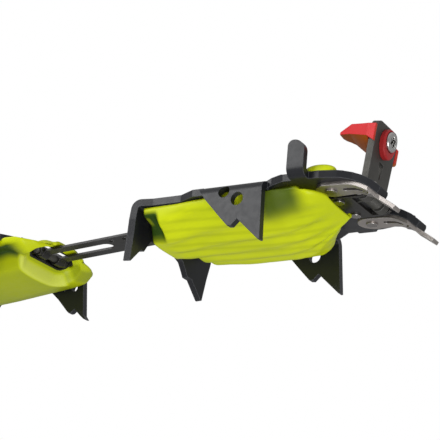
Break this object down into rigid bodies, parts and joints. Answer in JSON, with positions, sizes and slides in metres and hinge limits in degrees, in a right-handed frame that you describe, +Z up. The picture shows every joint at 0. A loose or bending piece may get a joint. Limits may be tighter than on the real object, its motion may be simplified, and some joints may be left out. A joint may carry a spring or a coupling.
{
  "type": "boot crampon",
  "caption": "Hinged two-unit crampon with bent-down points, a slotted length-setting bar, moulded snow plates, a sprung toe lever with a hook and a wire heel bail.",
  "frame": {"origin": "on the ground under the middle of the crampon's length and width, standing on its rearmost heel points and its front side points", "axes": "+X towards the toe, +Y to the left, +Z up"},
  "size_m": [0.3078, 0.0836, 0.0894],
  "materials": {
    "frame_paint": "satin",
    "steel": "satin",
    "dark_steel": "satin",
    "rivet_steel": "satin",
    "lime_rubber": "matte",
    "black_rubber": "matte",
    "red_plastic": "satin",
    "dark_red_plastic": "satin",
    "bright_screw": "polished",
    "spring_steel": "satin",
    "wire_steel": "polished"
  },
  "bodies": {
    "front_unit": {"front_frame": "frame_paint", "front_strip_left": "steel", "front_strip_right": "steel", "strip_rivets": "rivet_steel", "front_plate": "lime_rubber", "plate_pads": "lime_rubber", "bar_guide": "dark_steel", "guide_rivets": "rivet_steel", "latch_pin": "rivet_steel", "toe_bracket": "dark_steel", "bracket_rivets": "rivet_steel", "lever_pin": "rivet_steel", "lever_spring": "spring_steel"},
    "toe_lever": {"toe_lever": "steel"},
    "toe_hook": {"toe_hook": "red_plastic", "hook_washer": "dark_red_plastic", "hook_nut": "rivet_steel"},
    "hook_screw": {"hook_screw": "bright_screw"},
    "length_latch": {"length_latch": "red_plastic"},
    "link_bar": {"link_bar": "dark_steel"},
    "heel_unit": {"heel_frame": "frame_paint", "axle_bracket": "dark_steel", "axle_rivets": "rivet_steel", "bar_axle": "rivet_steel", "heel_plate": "lime_rubber", "slot_bezel": "black_rubber"},
    "heel_bail": {"heel_bail": "wire_steel"},
    "heel_lever": {"heel_lever": "red_plastic"}
  },
  "joints": [
    {"name": "toe_lever_hinge", "type": "hinge", "parent": "front_unit", "child": "toe_lever", "pos_m": [0.13101, 0, 0.0283], "axis": [0, 1, 0], "range_deg": [-15, 50], "stiffness_Nm_per_rad": 0.15},
    {"name": "toe_hook_slide", "type": "slide", "parent": "toe_lever", "child": "toe_hook", "axis": [0.2172, 0, 0.9761], "range_m": [-0.003, 0.003]},
    {"name": "hook_screw_turn", "type": "hinge", "parent": "toe_hook", "child": "hook_screw", "pos_m": [0.1372, 0, 0.05612], "axis": [0.9761, 0, -0.2172], "continuous": true},
    {"name": "length_latch_hinge", "type": "hinge", "parent": "front_unit", "child": "length_latch", "pos_m": [0.04053, 0, 0.02707], "axis": [0, 1, 0], "range_deg": [-9.5, 8]},
    {"name": "link_bar_slide", "type": "slide", "parent": "front_unit", "child": "link_bar", "axis": [1, 0, -0.0008], "range_m": [-0.008, 0.016]},
    {"name": "heel_hinge", "type": "hinge", "parent": "link_bar", "child": "heel_unit", "pos_m": [-0.05339, 0, 0.03143], "axis": [0, 1, 0], "range_deg": [-7, 3]},
    {"name": "heel_bail_hinge", "type": "hinge", "parent": "heel_unit", "child": "heel_bail", "pos_m": [-0.10102, 0, 0.04078], "axis": [0, 1, 0], "range_deg": [-20, 55]},
    {"name": "heel_lever_hinge", "type": "hinge", "parent": "heel_bail", "child": "heel_lever", "pos_m": [-0.14965, 0, 0.0592], "axis": [0, 1, 0], "range_deg": [-40, 60]}
  ]
}
